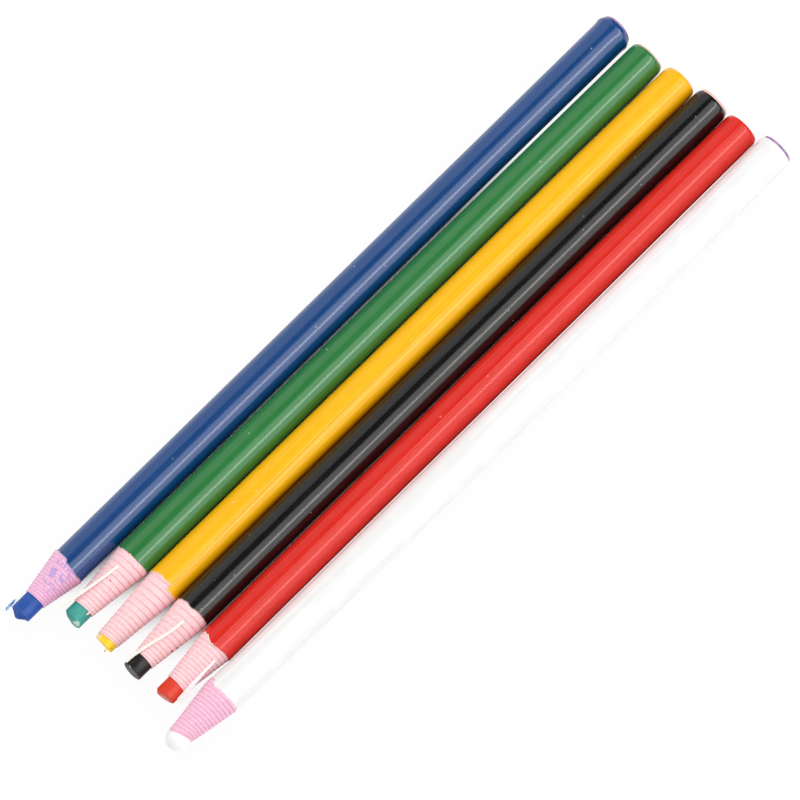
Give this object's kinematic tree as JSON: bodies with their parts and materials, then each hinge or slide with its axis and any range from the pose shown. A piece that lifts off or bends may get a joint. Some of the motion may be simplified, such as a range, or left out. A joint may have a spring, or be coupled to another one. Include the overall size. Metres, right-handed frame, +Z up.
{
  "type": "china marker set",
  "caption": "Peel-off china markers lying in a row, each a coloured wax core wound in a stepped paper strip with a buried pull string, inside a lacquered sleeve.",
  "frame": {"origin": "middle of the row's footprint, on the table it lies on", "axes": "+X along the markers from the tips to the back ends, +Y across the row to the blue marker, +Z up"},
  "size_m": [0.1803, 0.0504, 0.0081],
  "materials": {
    "blue_wax": "waxy",
    "blue_lacquer": "glossy lacquer",
    "green_wax": "waxy",
    "green_lacquer": "glossy lacquer",
    "yellow_wax": "waxy",
    "yellow_lacquer": "glossy lacquer",
    "black_wax": "waxy",
    "black_lacquer": "glossy lacquer",
    "red_wax": "waxy",
    "red_lacquer": "glossy lacquer",
    "white_wax": "waxy",
    "white_lacquer": "glossy lacquer",
    "pink_paper": "matt",
    "lilac_paper": "matt",
    "string": "matt"
  },
  "bodies": {
    "blue_marker": {"blue_core": "blue_wax", "blue_paper_wrap": "lilac_paper", "blue_pull_string": "string", "blue_sleeve": "blue_lacquer"},
    "green_marker": {"green_core": "green_wax", "green_paper_wrap": "pink_paper", "green_pull_string": "string", "green_sleeve": "green_lacquer"},
    "green_tail": {"green_string_tail": "string"},
    "yellow_marker": {"yellow_core": "yellow_wax", "yellow_paper_wrap": "pink_paper", "yellow_pull_string": "string", "yellow_sleeve": "yellow_lacquer"},
    "black_marker": {"black_core": "black_wax", "black_paper_wrap": "pink_paper", "black_pull_string": "string", "black_sleeve": "black_lacquer"},
    "black_tail": {"black_string_tail": "string"},
    "red_marker": {"red_core": "red_wax", "red_paper_wrap": "pink_paper", "red_pull_string": "string", "red_sleeve": "red_lacquer"},
    "red_tail": {"red_string_tail": "string"},
    "white_marker": {"white_core": "white_wax", "white_paper_wrap": "lilac_paper", "white_pull_string": "string", "white_sleeve": "white_lacquer"}
  },
  "joints": [
    {"name": "blue_lift", "type": "slide", "parent": "black_marker", "child": "blue_marker", "axis": [0, 0, 1], "range_m": [0, 0.05]},
    {"name": "green_lift", "type": "slide", "parent": "black_marker", "child": "green_marker", "axis": [0, 0, 1], "range_m": [0, 0.05]},
    {"name": "yellow_lift", "type": "slide", "parent": "black_marker", "child": "yellow_marker", "axis": [0, 0, 1], "range_m": [0, 0.05]},
    {"name": "red_lift", "type": "slide", "parent": "black_marker", "child": "red_marker", "axis": [0, 0, 1], "range_m": [0, 0.05]},
    {"name": "white_lift", "type": "slide", "parent": "black_marker", "child": "white_marker", "axis": [0, 0, 1], "range_m": [0, 0.05]},
    {"name": "green_string_pull", "type": "hinge", "parent": "green_marker", "child": "green_tail", "pos_m": [-0.06891, 0.01271, 0.00783], "axis": [0.1613, 0.9869, 0], "range_deg": [0, 150]},
    {"name": "black_string_pull", "type": "hinge", "parent": "black_marker", "child": "black_tail", "pos_m": [-0.06791, -0.00532, 0.00779], "axis": [0.2071, 0.9783, 0], "range_deg": [0, 150]},
    {"name": "red_string_pull", "type": "hinge", "parent": "red_marker", "child": "red_tail", "pos_m": [-0.06936, -0.01533, 0.00675], "axis": [-0.0666, 0.9978, 0], "range_deg": [0, 150]}
  ]
}
